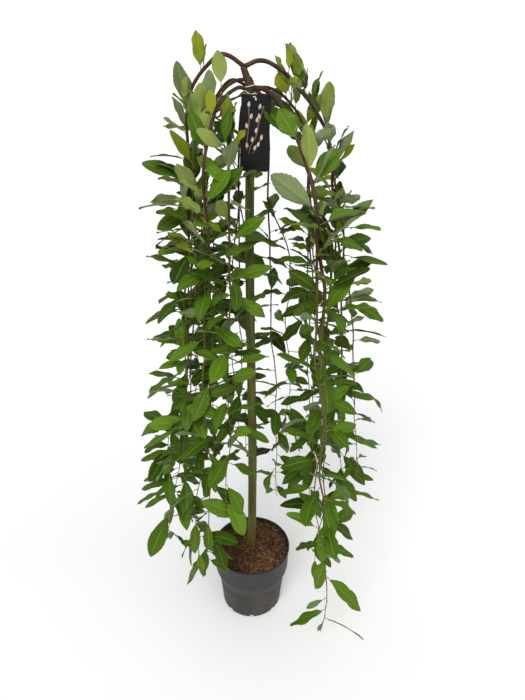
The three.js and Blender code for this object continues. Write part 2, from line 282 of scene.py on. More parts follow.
class Heap:
    """Vertices and faces of many small solids that are joined into one piece."""

    def __init__(self):
        self.points, self.count = [], 0
        self.corners, self.sizes, self.kinds, self.smooth = [], [], [], []

    def add(self, points, faces, kind=0, smooth=True):
        """faces is an array with 3 or 4 corners a row. kind and smooth are one for all faces, or one each."""
        self.faces(self.count, faces, kind, smooth)
        self.points.append(np.asarray(points, float))
        self.count += len(points)

    def faces(self, start, faces, kind, smooth):
        """Faces over points that are in the heap already, counted from start."""
        self.corners.append((np.asarray(faces) + start).ravel())
        self.sizes.append(np.full(len(faces), faces.shape[1]))
        self.kinds.append(np.broadcast_to(kind, len(faces)))
        self.smooth.append(np.broadcast_to(smooth, len(faces)))

    def build(self, name, materials):
        points = np.concatenate(self.points)
        corners = np.concatenate(self.corners).astype(np.int32)
        sizes = np.concatenate(self.sizes)
        starts = np.concatenate([[0], np.cumsum(sizes)[:-1]]).astype(np.int32)
        mesh = bpy.data.meshes.new(name)
        mesh.vertices.add(len(points))
        mesh.vertices.foreach_set("co", points.astype(np.float32).ravel())
        mesh.loops.add(len(corners))
        mesh.loops.foreach_set("vertex_index", corners)
        mesh.polygons.add(len(sizes))
        mesh.polygons.foreach_set("loop_start", starts)
        mesh.update(calc_edges=True)
        mesh.polygons.foreach_set("material_index", np.concatenate(self.kinds).astype(np.int32))
        mesh.polygons.foreach_set("use_smooth", np.concatenate(self.smooth).astype(bool))
        for material in materials:
            mesh.materials.append(material)
        mesh.update()
        piece = bpy.data.objects.new(name, mesh)
        bpy.context.scene.collection.objects.link(piece)
        return piece


def settle(piece, slot, *nodes):
    """The piece rides on the plant and stands for CAD nodes, which it hides. slot is not used."""
    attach(piece, "root")
    if nodes:
        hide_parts(*nodes)


def unit(vectors):
    return vectors / np.linalg.norm(vectors, axis=-1, keepdims=True)


def angles(sides):
    """Even angles once round, from 0."""
    return np.linspace(0, 2 * np.pi, sides, endpoint=False)


def ring_faces(rings, sides, start=0):
    """Quads between rings of sides points, for rings that turn the same way."""
    ring, side = np.meshgrid(np.arange(rings - 1), np.arange(sides), indexing="ij")
    here = start + ring * sides + side
    across = start + ring * sides + (side + 1) % sides
    return np.stack([here, across, across + sides, here + sides], -1).reshape(-1, 4)


def fan(centre, first, sides, flip):
    """Triangles from a middle point to the ring that starts at first."""
    side = np.arange(sides)
    a, b = first + side, first + (side + 1) % sides
    faces = np.stack([np.full(sides, centre), b, a], -1)
    return faces[:, ::-1] if flip else faces


def tube_rings(points, radii, sides, relief=None):
    """Rings square to a path, carried along without twisting. relief scales each ring's points."""
    points = np.asarray(points, float)
    heading = unit(np.gradient(points, axis=0))
    across = np.cross(heading[0], [0.31, 0.95, 0.05])
    rings = np.empty((len(points), sides, 3))
    turn = angles(sides)
    scale = np.ones((len(points), sides)) if relief is None else relief
    for i, point in enumerate(points):
        across = across - heading[i] * (across @ heading[i])
        across = across / np.linalg.norm(across)
        other = np.cross(heading[i], across)
        spokes = np.outer(np.cos(turn), across) + np.outer(np.sin(turn), other)
        rings[i] = point + spokes * (radii[i] * scale[i])[:, None]
    return rings


def add_tube(heap, points, radii, sides, kind=0, relief=None):
    """A closed tapering tube. radii is one for all rings, or as many as there are points."""
    radii = np.broadcast_to(radii, len(points))
    rings = tube_rings(points, radii, sides, relief)
    count = len(rings)
    body = np.concatenate([rings.reshape(-1, 3), rings[:1].mean(1), rings[-1:].mean(1)])
    start = heap.count
    heap.add(body, ring_faces(count, sides), kind)
    heap.faces(start, fan(count * sides, 0, sides, False), kind, True)
    heap.faces(start, fan(count * sides + 1, (count - 1) * sides, sides, True), kind, True)


def smooth_path(points, step):
    """Points about a step apart on a Catmull-Rom curve through the given ones."""
    points = np.asarray(points, float)
    reach = np.concatenate([[0], np.cumsum(np.linalg.norm(np.diff(points, axis=0), axis=1))])
    padded = np.vstack([2 * points[0] - points[1], points, 2 * points[-1] - points[-2]])
    shares = np.linspace(0, reach[-1], max(3, int(reach[-1] / step)))
    spans = np.clip(np.searchsorted(reach, shares, side="right") - 1, 0, len(points) - 2)
    t = ((shares - reach[spans]) / (reach[spans + 1] - reach[spans]))[:, None]
    a, b, c, d = (padded[spans + k] for k in range(4))
    square, cube = 2 * a - 5 * b + 4 * c - d, 3 * b - a - 3 * c + d
    return 0.5 * (2 * b + (c - a) * t + square * t ** 2 + cube * t ** 3)


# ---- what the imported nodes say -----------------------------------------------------

def rings_of(node):
    """The rings of a lofted node from its first end to its last, each an array of points."""
    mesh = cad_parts[node].data
    points = np.array([v.co for v in mesh.vertices])
    keys, index = np.unique(np.round(points, 5), axis=0, return_inverse=True)
    index = index.ravel()
    links = [set() for _ in keys]
    for edge in mesh.edges:
        a, b = index[edge.vertices[0]], index[edge.vertices[1]]
        if a != b:
            links[a].add(b)
            links[b].add(a)
    ends = sorted(range(len(keys)), key=lambda k: -len(links[k]))[:2]
    head = min(ends, key=lambda k: (np.hypot(*keys[k][:2]), -keys[k][2]))
    seen, layer, rings = {head}, {head}, []
    while layer:
        layer = set().union(*(links[k] for k in layer)) - seen
        seen |= layer
        if len(layer) > 2:
            rings.append(keys[sorted(layer)])
    return rings


def limb_line(*nodes):
    """The middle line and the radii of the limb that these nodes make."""
    rings = [ring for node in nodes for ring in rings_of(node)]
    line = np.array([ring.mean(0) for ring in rings])
    radii = np.array([np.linalg.norm(ring - ring.mean(0), axis=1).mean() for ring in rings])
    return line, radii


class Mass:
    """A packed foliage mass as reaches and azimuths by height."""

    def __init__(self, node):
        rings = rings_of(node)
        low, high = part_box(node)
        middle = math.atan2(low[1] + high[1], low[0] + high[0])
        rows = []
        for ring in rings:
            reach = np.hypot(ring[:, 0], ring[:, 1])
            turn = np.angle(np.exp(1j * (np.arctan2(ring[:, 1], ring[:, 0]) - middle)))
            height, left, right = ring[:, 2].mean(), turn.min() + middle, turn.max() + middle
            rows.append((height, reach.min(), reach.max(), left, right))
        rows.sort()
        self.heights, self.inner, self.outer, self.left, self.right = np.array(rows).T

    def point(self, height, depth, side):
        """depth runs from 0 inside to 1 outside, and side from -1 to 1 across the mass."""
        inner, outer, left, right = (
            np.interp(height, self.heights, row) for row in (self.inner, self.outer, self.left, self.right)
        )
        reach = inner + depth * (outer - inner)
        turn = (left + right) / 2 + side * (right - left) / 2
        level = np.broadcast_to(height, np.shape(reach))
        return np.stack([reach * np.cos(turn), reach * np.sin(turn), level], -1)


# ---- shoots ------------------------------------------------------------------------

# The hanging shoots of each mass. The first grows on from the mass's bough and the
# others leave it lower down, at a height given by fork. depth and side place a shoot in
# its mass from top to foot, foot is the height of its tip, and gap the mean spacing of
# its leaves in mm. A bough is bare out to the reach bare, and down to the height bare_to.
# Then sprigs says how many short twigs stand up from it. leafiness is the share of buds that
# carry a leaf: nearly all do below full_below, and none below bare_below but the notable ones.
SHOOTS = {
    "right": [
        dict(depth=(0.50, 0.44), side=(0.1, 0.1), foot=0.36, gap=26, bare=0.080, sprigs=1),
        dict(depth=(0.55, 0.70), side=(-0.6, -0.5), foot=0.46, gap=29, fork=1.20),
        dict(depth=(0.45, 0.55), side=(0.6, 0.7), foot=0.52, gap=32, fork=1.16),
    ],
    "left": [
        dict(depth=(0.42, 0.38), side=(0.0, 0.0), foot=0.33, gap=26, bare=0.112, sprigs=0),
        dict(depth=(0.34, 0.62), side=(-0.7, -0.3), foot=0.40, gap=30, fork=1.22),
        dict(depth=(0.38, 0.28), side=(0.7, 0.7), foot=0.50, gap=32, fork=1.20),
    ],
    "front_right": [
        dict(depth=(0.58, 0.62), side=(-0.2, 0.0), foot=0.112, gap=29, bare=0.135, sprigs=0,
             bare_below=0.36),
        dict(depth=(0.42, 0.28), side=(0.6, 0.5), foot=0.30, gap=28, fork=1.16),
        dict(depth=(0.75, 0.80), side=(-0.6, -0.6), foot=0.40, gap=31, fork=1.10),
    ],
    "back_right": [
        dict(depth=(0.48, 0.46), side=(-0.3, -0.3), foot=0.36, gap=28, bare=0.090, sprigs=2),
        dict(depth=(0.48, 0.52), side=(-0.8, -0.8), foot=0.46, gap=31, fork=1.18),
        dict(depth=(0.55, 0.42), side=(0.4, 0.0), foot=0.22, gap=27, fork=1.12),
    ],
    "left_front": [
        dict(depth=(0.42, 0.42), side=(0.5, -0.1), foot=0.40, gap=27, bare=0.092, sprigs=1),
        dict(depth=(0.48, 0.68), side=(0.0, 0.5), foot=0.33, gap=29, fork=1.16),
        dict(depth=(0.30, 0.25), side=(-0.5, -0.5), foot=0.52, gap=34, fork=1.20),
    ],
    "front_left": [
        dict(depth=(0.40, 0.36), side=(0.2, 0.0), foot=0.27, gap=27, bare=0.070, bare_to=1.17, sprigs=1),
        dict(depth=(0.48, 0.55), side=(-0.5, -0.4), foot=0.30, gap=30, fork=1.05),
    ],
    "back_left": [
        dict(depth=(0.45, 0.34), side=(0.1, 0.1), foot=0.46, gap=29, bare=0.082, sprigs=2),
        dict(depth=(0.35, 0.36), side=(0.8, 0.8), foot=0.40, gap=31, fork=1.10),
        dict(depth=(0.60, 0.56), side=(-0.6, -0.4), foot=0.36, gap=29, fork=1.12),
    ],
    "front": [
        dict(depth=(0.62, 0.52), side=(0.0, -0.35), foot=0.455, gap=26, bare=0.050, sprigs=2,
             bare_below=0.56),
    ],
    "back": [
        dict(depth=(0.45, 0.32), side=(0.5, -0.4), foot=0.235, gap=34, leafiness=0.22, bare=0.105, sprigs=1,
             full_below=0.60),
        dict(depth=(0.60, 0.56), side=(-0.9, -0.6), foot=0.40, gap=31, fork=1.12),
    ],
    "left_back": [
        dict(depth=(0.46, 0.40), side=(0.0, 0.0), foot=0.42, gap=28, bare=0.100, sprigs=2),
        dict(depth=(0.38, 0.58), side=(0.6, 0.3), foot=0.34, gap=30, fork=1.18),
        dict(depth=(0.40, 0.30), side=(-0.7, -0.6), foot=0.48, gap=32, fork=1.14),
    ],
}

LIMB_NODES = {
    name: [n for n in (f"bough_{name}_rise", f"bough_{name}_fall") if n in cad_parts] for name in SHOOTS
}
BEND_DROP = 0.17          # height over which a limb turns down into its mass
FORK_TOP = 1.33           # no shoot forks from a limb above this height
FORK_SWING = 6            # how hard a fork swings over to its own side
TIP_RADIUS = 0.7 * MM
LEAFINESS = 0.95


def sway(count, size):
    """A slow sideways wander along a shoot, nothing at its start."""
    share = np.linspace(0, 1, count)
    wander = np.zeros((count, 3))
    for axis in (0, 1):
        for waves in (1.6, 3.7, 8.3):
            wander[:, axis] += np.sin(waves * 2 * np.pi * share + rng.uniform(0, 6.3)) / waves
    return wander * size * np.minimum(1, share * 6)[:, None]


def hang_down(start, heading, mass, plan):
    """A path from the end of a limb that turns down into its mass and hangs to its foot."""
    turn_down = start[2] - BEND_DROP
    heights = np.arange(turn_down, plan["foot"], -0.02)
    share = (turn_down - heights) / (turn_down - plan["foot"])
    depth = np.interp(share, [0, 1], plan["depth"])
    side = np.interp(share, [0, 1], plan["side"])
    hanging = mass.point(heights, depth, side)
    pull = 0.42 * np.linalg.norm(hanging[0] - start)
    handles = [start, start + heading * pull, hanging[0] + UP * pull, hanging[0]]
    t = np.linspace(0, 1, 14)[:-1, None]
    arch = sum(math.comb(3, k) * t ** k * (1 - t) ** (3 - k) * handles[k] for k in range(4))
    return np.vstack([arch, hanging + sway(len(hanging), 5 * MM)])


class Shoot:
    """A shoot's path, its radii, where its leaves begin and how they are spaced."""

    def __init__(self, path, radii, leafy_from, plan, sprig=False):
        self.path, self.radii, self.leafy_from, self.plan = path, radii, leafy_from, plan
        self.gap, self.leafiness, self.sprig = plan["gap"] * MM, plan.get("leafiness", LEAFINESS), sprig
        steps = np.linalg.norm(np.diff(path, axis=0), axis=1)
        self.reach = np.concatenate([[0], np.cumsum(steps)])

    def where_reach(self, reach):
        """How far along the shoot first stands this far from the trunk's axis."""
        return self.reach[int(np.argmax(np.hypot(self.path[:, 0], self.path[:, 1]) >= reach))]

    def where_below(self, height, start):
        """How far along, after start, the shoot first comes below a height."""
        after = (self.reach >= start) & (self.path[:, 2] < height)
        return self.reach[int(np.argmax(after))]

    def at(self, distance):
        """The point this far along the shoot."""
        return np.array([np.interp(distance, self.reach, self.path[:, k]) for k in range(3)])

    def thick(self, distance):
        """The shoot's radius this far along."""
        return float(np.interp(distance, self.reach, self.radii))

    def heading(self, distance):
        return unit(self.at(distance + 4 * MM) - self.at(distance - 4 * MM))


def grow_shoots(name):
    """The shoots of one mass, the one that grows on from the bough first."""
    mass = Mass(f"foliage_{name}")
    line, thickness = limb_line(*LIMB_NODES[name])
    shoots = []
    for plan in SHOOTS[name]:
        if "fork" in plan:
            parent = shoots[0]
            begin = int(np.argmin(np.abs(parent.path[:, 2] - plan["fork"]) + (parent.path[:, 2] > FORK_TOP)))
            start, thick = parent.path[begin], parent.radii[begin] * 0.8
            heading = unit(parent.path[begin] - parent.path[begin - 1])
            aside = mass.point(start[2] - 0.1, plan["depth"][0], plan["side"][0]) - start
            aside[2] = 0
            path = np.vstack([start, hang_down(start, unit(heading + FORK_SWING * aside), mass, plan)[1:]])
            radii = np.interp(np.linspace(0, 1, len(path)), [0, 1], [thick, TIP_RADIUS])
            leafy = 0.03
        else:
            root = line[0] - unit(line[1] - line[0]) * 10 * MM
            heading = unit(line[-1] - line[-2])
            path = np.vstack([root, line[:-1], hang_down(line[-1], heading, mass, plan)])
            limb = len(line)
            radii = np.interp(np.arange(len(path)), [0, limb, len(path) - 1],
                              [thickness[0], thickness[-1], TIP_RADIUS])
            leafy = None
        path = smooth_path(path, 5 * MM)
        radii = np.interp(np.linspace(0, 1, len(path)), np.linspace(0, 1, len(radii)), radii)
        shoots.append(Shoot(path, radii, leafy, plan))
    arch, plan = shoots[0], SHOOTS[name][0]
    outer = arch.where_reach(plan["bare"])
    arch.leafy_from = arch.where_below(plan.get("bare_to", 2.0), outer)
    last = max(arch.where_below(1.25, outer), outer + 0.06)
    places = np.linspace(outer, last, plan["sprigs"]) + rng.uniform(0, 0.015, plan["sprigs"])
    shoots += [grow_sprig(arch, place) for place in places]
    return shoots


def grow_sprig(parent, distance):
    """A short twig that stands up from an arch and leans outwards."""
    start, heading = parent.at(distance), parent.heading(distance)
    thick = parent.thick(distance)
    outward = math.atan2(start[1], start[0]) + rng.normal(0, 0.9)
    lean = math.radians(rng.uniform(45, 78))
    level, rise = math.cos(lean), math.sin(lean)
    direction = np.array([math.cos(outward) * level, math.sin(outward) * level, rise])
    length = rng.uniform(18, 46) * MM
    first = unit(direction + 0.7 * heading)
    line = [start, start + first * 0.35 * length, start + first * 0.3 * length + direction * 0.7 * length]
    path = smooth_path(line, 4 * MM)
    radii = np.linspace(min(1.7 * MM, 0.6 * thick), 0.8 * MM, len(path))
    return Shoot(path, radii, 0.35 * length, dict(gap=13, leafiness=1.0), True)


# ---- leaves ------------------------------------------------------------------------

VEINS = 8                     # to each side of the midrib
VEIN_HALF_WIDTH = 0.004       # share of a leaf's length
LEAF_COLUMNS = np.array([0.0, 0.030, 0.36, 0.76, 1.0])   # from midrib to margin
GREEN_TINTS = [
    (0.026, 0.052, 0.003), (0.042, 0.082, 0.004), (0.061, 0.120, 0.006),
    (0.084, 0.164, 0.008), (0.115, 0.214, 0.012),
]
YELLOW_TINTS = [(0.100, 0.155, 0.007), (0.150, 0.200, 0.010), (0.210, 0.245, 0.014)]
UNDER_TINTS = [
    (0.125, 0.175, 0.062), (0.175, 0.228, 0.096), (0.230, 0.290, 0.140),
    (0.190, 0.270, 0.045), (0.250, 0.320, 0.070),
]
FIRST_YELLOW = len(GREEN_TINTS)
FIRST_UNDER = FIRST_YELLOW + len(YELLOW_TINTS)
BROWN_TINT = FIRST_UNDER + len(UNDER_TINTS)
RIB_TINT = BROWN_TINT + 1
UNDER_RIB_TINT = BROWN_TINT + 2


def leaf_materials():
    """The leaf's materials in the order of the tint numbers."""
    upper = plains("leaf_upper", GREEN_TINTS + YELLOW_TINTS, 0.44, 0.10)
    under = plains("leaf_under", UNDER_TINTS, 0.70, 0.08)
    brown = plain("leaf_browned", (0.060, 0.028, 0.010), 0.75, 0.2)
    rib = plain("leaf_rib", (0.175, 0.290, 0.035), 0.45, 0.1)
    under_rib = plain("leaf_under_rib", (0.255, 0.310, 0.140), 0.6, 0.1)
    return [*upper, *under, brown, rib, under_rib]


class LeafForm:
    """The grid that every leaf shares: rows follow the side veins and columns the midrib.

    Its upper face comes first, then its underside and last the rim that joins the two.
    """

    def __init__(self):
        spots = [0.0, 0.045]
        veins = [False, False]
        for k in range(VEINS):
            middle = 0.10 + 0.82 * k / (VEINS - 0.5)
            spots += [middle - VEIN_HALF_WIDTH, middle + VEIN_HALF_WIDTH, middle + 0.41 / (VEINS - 0.5)]
            veins += [True, True, False]
        spots += [0.975, 1.0]
        veins += [False, False]
        self.along = np.array(spots)
        self.is_vein = np.array(veins)
        self.across = np.concatenate([-LEAF_COLUMNS[:0:-1], LEAF_COLUMNS])
        rows, columns = len(self.along), len(self.across)
        row, column = np.meshgrid(np.arange(rows - 1), np.arange(columns - 1), indexing="ij")
        corner = (row * columns + column).ravel()
        top = np.stack([corner, corner + 1, corner + columns + 1, corner + columns], -1)
        size = rows * columns
        left = np.arange(rows - 1) * columns
        right = left + columns - 1
        left_rim = np.stack([left + columns, left + columns + size, left + size, left], -1)
        right_rim = np.stack([right, right + size, right + columns + size, right + columns], -1)
        self.quads = np.concatenate([top, top[:, ::-1] + size, left_rim, right_rim])
        row, column = row.ravel(), column.ravel()
        self.in_rib = np.abs(self.across[column] + self.across[column + 1]) < 0.06
        self.in_vein = self.is_vein[row] & self.is_vein[row + 1]
        self.row_share = self.along[row]
        self.top_count, self.rim_count = len(top), len(left_rim) + len(right_rim)

    def kinds(self, upper, under, browned):
        """The material of each quad: ribs on both faces, veins under, and a browned tip."""
        over = np.where(self.in_rib, RIB_TINT, upper)
        below = np.where(self.in_rib | self.in_vein, UNDER_RIB_TINT, under)
        over = np.where(self.row_share > 1 - browned, BROWN_TINT, over)
        below = np.where(self.row_share > 1 - browned, BROWN_TINT, below)
        return np.concatenate([over, below, np.full(self.rim_count, upper)])

    def points(self, length, width, shape):
        """The leaf's points: x across, y from base to tip, z out of the upper face."""
        s = self.along[:, None] * np.ones(len(self.across))
        v = self.across[None, :] * np.ones((len(self.along), 1))
        slant = 0.55 * width / length * 4 * s * (1 - s)
        t = s + slant * np.abs(v) * (1 - s) ** 0.35
        half = 0.5 * width * np.sin(np.pi * np.clip(t, 0, 1) ** shape["belly"]) ** shape["fullness"]
        teeth = 1 + shape["teeth"] * np.sin(2 * np.pi * (VEINS + 3) * t + shape["phase"]) * np.abs(v) ** 3
        x = v * half * teeth
        y = length * t
        fold = shape["fold"] * np.abs(x)
        groove = -0.6 * MM * np.exp(-(np.abs(x) / (1.2 * MM)) ** 2)
        row_vein = np.where(self.is_vein, -1.0, 1.0)[:, None] * 0.42 * MM
        pleat = row_vein * np.sin(np.pi * np.clip(np.abs(v), 0, 1)) * np.minimum(1, half / (6 * MM))
        edge = np.sign(v) * 1.3 + shape["phase"]
        wave = shape["wave"] * np.abs(v) ** 2.2 * np.sin(2 * np.pi * shape["waves"] * t + edge)
        top = np.stack([x, y, fold + groove + pleat + wave], -1)
        ridge = np.exp(-(np.abs(x) / (0.9 * MM)) ** 2) * (1 - 0.7 * s) * 0.8 * MM
        under = top - np.stack([np.zeros_like(x), np.zeros_like(x), 0.32 * MM + ridge], -1)
        return np.concatenate([top.reshape(-1, 3), under.reshape(-1, 3)])


FORM = LeafForm()


def bend_and_twist(points, length, curl, twist):
    """Curls a leaf back along its length by an angle, and turns it about its midrib."""
    x, y, z = points.T
    share = y / length
    turn = twist * share
    x, z = x * np.cos(turn) - z * np.sin(turn), x * np.sin(turn) + z * np.cos(turn)
    if abs(curl) < 1e-3:
        return np.stack([x, y, z], -1)
    angle = curl * share
    radius = length / curl
    sin, cos = np.sin(angle), np.cos(angle)
    return np.stack([x, radius * sin + z * sin, z * cos - radius * (1 - cos)], -1)


def leaf_axes(azimuth, elevation, roll):
    """The directions across, along and out of the upper face of a leaf."""
    level = np.array([math.cos(azimuth), math.sin(azimuth), 0])
    along = math.cos(elevation) * level + math.sin(elevation) * UP
    face = math.cos(elevation) * UP - math.sin(elevation) * level
    across = np.cross(along, face)
    across, face = (math.cos(roll) * across + math.sin(roll) * face,
                    math.cos(roll) * face - math.sin(roll) * across)
    return across, along, face


def add_leaf(heap, stalks, node, heading, look, room):
    """One leaf on its stalk, from a node on a shoot, if there is room for it."""
    across, along, face = leaf_axes(look["azimuth"], look["elevation"], look["roll"])
    length, width = look["length"], look["width"]
    start = node + unit(along * 0.6 - heading * 0.2) * look["shoot_radius"] * 0.5
    base = start + unit(along + 0.35 * look["lift"] * UP) * look["stalk"]
    bend = start + unit(along - 0.5 * heading + look["lift"] * UP) * look["stalk"] * 0.55
    local = FORM.points(length, width, look["shape"])
    local = bend_and_twist(local, length, look["curl"], look["twist"])
    points = base + local[:, :1] * across + local[:, 1:2] * along + local[:, 2:] * face
    if room and not room.holds(points):
        return False
    smooth = np.ones(len(FORM.quads), bool)
    smooth[2 * FORM.top_count:] = False
    heap.add(points, FORM.quads, FORM.kinds(look["upper"], look["under"], look["browned"]), smooth)
    t = np.linspace(0, 1, 5)[:, None]
    curve = (1 - t) ** 2 * start + 2 * t * (1 - t) * bend + t ** 2 * (base + along * 1.5 * MM)
    add_tube(stalks, curve, np.linspace(1.05, 0.7, 5) * MM, 5, look["stalk_kind"])
    return True


# How leaves change with height. Each row holds a value for the hem, the middle and the head.
BY_HEIGHT = {
    "rise": (-20, 15, 56),              # degrees
    "rise_spread": (20, 25, 20),
    "roll_spread": (22, 26, 38),
    "curl": (38, 26, 10),
    "length": (84, 73, 62),             # mm
    "breadth": (0.98, 0.98, 1.20),      # times the usual width
    "green": (2.1, 1.9, 2.1),           # the middle one of the green tints dealt out
    "yellow": (0.0, -0.1, 0.50),        # share of yellow green leaves, none where it is below 0
    "yellow_under": (0.03, 0.05, 0.85),
    "browned": (0.03, 0.03, 0.16),      # share of leaves with a brown tip
}


def by_height(what, height):
    """A leaf's value at a height, eased from the middle of the crown into its head."""
    hem, middle, head = BY_HEIGHT[what]
    return float(np.interp(height, [0.40, 0.85, 1.12, 1.26], [hem, middle, (2 * middle + head) / 3, head]))


def leaf_tint(height, bias):
    """A green low down, and often a yellow green in the head."""
    if rng.random() < by_height("yellow", height):
        return FIRST_YELLOW + int(rng.integers(0, len(YELLOW_TINTS)))
    return int(np.clip(round(rng.normal(by_height("green", height) + bias, 1.0)), 0, FIRST_YELLOW - 1))


def under_tint(height):
    """A grey green, or in the head mostly a yellow green."""
    if rng.random() < by_height("yellow_under", height):
        return FIRST_UNDER + 3 + int(rng.integers(0, 2))
    return FIRST_UNDER + int(rng.integers(0, 3))


def leaf_look(height, azimuth, bias, size=1.0):
    """How a leaf is held, how large it is and which tints it has, by its height."""
    rise = rng.normal(by_height("rise", height), by_height("rise_spread", height))
    length = float(np.clip(rng.normal(by_height("length", height), 10) * size, 30, 102)) * MM
    return dict(
        azimuth=azimuth,
        elevation=math.radians(float(np.clip(rise, -70, 84))),
        roll=math.radians(rng.normal(0, by_height("roll_spread", height))),
        length=length,
        width=length * rng.uniform(0.35, 0.45) * by_height("breadth", height),
        curl=math.radians(rng.normal(by_height("curl", height), 13)),
        twist=math.radians(rng.normal(0, 14)),
        stalk=rng.uniform(9, 15) * MM,
        lift=rng.uniform(0.1, 0.6),
        stalk_kind=int(rng.integers(0, 3)),
        upper=leaf_tint(height, bias),
        under=under_tint(height),
        browned=rng.uniform(0.03, 0.12) if rng.random() < by_height("browned", height) else 0.0,
        shape=leaf_shape(),
    )


# Leaves that stand out. Each grows from the first shoot of its mass at a height in metres,
# points to an azimuth, rises by an angle and is rolled, all in degrees. Then come its length
# and width in mm, its tint (greens from 0, yellow greens from 5, undersides from 8) and the
# browned share of its tip.
NOTABLE = {
    "left": [
        (1.362, 115, 82, 0, 60, 27, 7, 0.07), (1.366, 60, 76, 40, 34, 13, 6, 0.0),
        (1.302, 150, 78, 40, 74, 30, 8, 0.0), (1.285, -60, 64, 0, 46, 26, 1, 0.0),
        (1.258, -165, 76, 55, 58, 22, 9, 0.0),
        (0.840, 180, -5, 20, 70, 22, 1, 0.0), (0.740, -150, 50, 0, 58, 26, 2, 0.0),
        (0.500, -165, -5, 15, 88, 32, 2, 0.0), (0.475, 176, 6, 0, 74, 26, 1, 0.0),
        (0.440, -170, -12, 10, 90, 30, 3, 0.0), (0.358, -174, -18, 0, 84, 26, 2, 0.0),
        (0.410, -172, -10, 0, 88, 28, 2, 0.0), (0.368, -35, -46, 20, 88, 34, 3, 0.0),
    ],
    "left_front": [
        (1.302, 80, 80, 0, 56, 27, 9, 0.0), (0.920, -30, -35, 0, 74, 30, 3, 0.0),
        (0.700, -60, -30, 0, 80, 32, 3, 0.0),
    ],
    "front_left": [
        (1.283, 95, 80, 0, 42, 19, 7, 0.0), (1.240, 150, 66, 30, 60, 28, 2, 0.0),
        (1.150, -10, 55, -60, 66, 30, 3, 0.0),
        (0.330, -140, -70, 0, 90, 34, 2, 0.0), (0.305, -10, -5, 0, 56, 28, 3, 0.0),
        (0.285, -176, -52, 0, 92, 36, 2, 0.0),
    ],
    "front": [
        (1.238, 90, 78, 0, 62, 26, 6, 0.0), (1.228, -20, 62, -50, 46, 20, 7, 0.0),
        (1.080, -5, 42, -40, 72, 30, 3, 0.0), (1.010, 5, 22, -30, 76, 30, 3, 0.0),
        (0.830, -10, 25, -20, 78, 26, 3, 0.0), (0.690, 0, -24, -20, 86, 30, 3, 0.0),
        (0.535, -10, -62, -40, 84, 34, 3, 0.0), (0.490, -25, -56, -20, 94, 42, 4, 0.0),
    ],
    "back_right": [
        (1.318, 130, 66, 30, 46, 32, 7, 0.08), (1.300, 75, 76, 0, 36, 15, 6, 0.0),
        (0.330, 15, -20, -30, 88, 36, 0, 0.0), (0.290, -30, -40, -30, 86, 36, 1, 0.0),
        (0.300, 150, -18, 30, 80, 34, 0, 0.0),
    ],
    "right": [
        (1.357, 95, 84, 30, 46, 15, 7, 0.16), (1.362, 170, 60, 40, 24, 11, 6, 0.0),
        (1.325, 110, 78, 0, 36, 17, 1, 0.0), (1.305, 75, 76, 20, 42, 17, 2, 0.0),
        (1.262, 110, 84, 0, 68, 27, 8, 0.0), (1.200, -10, 64, -40, 66, 24, 9, 0.0),
        (1.065, 10, 50, -30, 92, 26, 8, 0.05), (0.985, -8, 32, -40, 60, 18, 2, 0.0),
        (0.925, -10, 9, 10, 66, 15, 8, 0.0),
        (0.850, -8, 4, 5, 88, 16, 1, 0.03), (0.690, -15, -8, 0, 70, 26, 3, 0.0),
        (0.605, -35, -62, 0, 84, 34, 2, 0.0), (0.560, -10, -14, 0, 96, 32, 3, 0.0),
        (0.440, -15, -3, 0, 76, 26, 2, 0.0), (0.376, -10, -8, 0, 94, 30, 3, 0.0),
    ],
    "front_right": [
        (1.250, 158, 54, 60, 56, 34, 3, 0.0), (1.190, 15, 52, -55, 62, 34, 3, 0.0),
        (1.150, 163, 35, -88, 88, 40, 9, 0.0), (0.960, 15, 60, -30, 82, 34, 3, 0.0),
        (0.890, -30, -22, 0, 72, 30, 3, 0.0), (0.850, -50, -66, 0, 86, 36, 2, 0.0),
        (0.540, -60, -66, 0, 90, 36, 2, 0.0), (0.495, -105, -68, 0, 96, 38, 3, 0.0),
        (0.380, -150, -70, 0, 82, 38, 3, 0.0), (0.420, 0, -30, 0, 64, 28, 2, 0.0),
        (0.318, -20, -38, 0, 108, 42, 3, 0.03), (0.250, 180, -36, 40, 54, 14, 8, 0.0),
        (0.205, 178, -34, 0, 94, 36, 3, 0.0), (0.160, 180, -72, 50, 30, 9, 8, 0.1),
        (0.168, -8, -18, 50, 100, 10, 8, 0.35),
    ],
}


def leaf_shape():
    """How full, toothed, folded and wavy a leaf is."""
    return dict(
        belly=rng.uniform(0.98, 1.22), fullness=rng.uniform(0.66, 0.82), teeth=rng.uniform(0.02, 0.06),
        phase=rng.uniform(0, 6.3), fold=rng.uniform(0.02, 0.20), wave=rng.uniform(0.8, 2.6) * MM,
        waves=rng.uniform(1.2, 2.6),
    )


def along_crown(azimuth, point):
    """Leans a leaf's azimuth away from the open middle."""
    outward = math.atan2(point[1], point[0])
    return outward + 0.95 * math.remainder(azimuth - outward, 2 * math.pi)


STEM_ROOM = 15 * MM
DOME_DROP = 25 * MM           # from the top of the room to the dome over the head
DOME_REACH = 60 * MM          # the dome is level out to this reach
DOME_FALL = 90 * MM           # and has fallen this much 120 mm further out


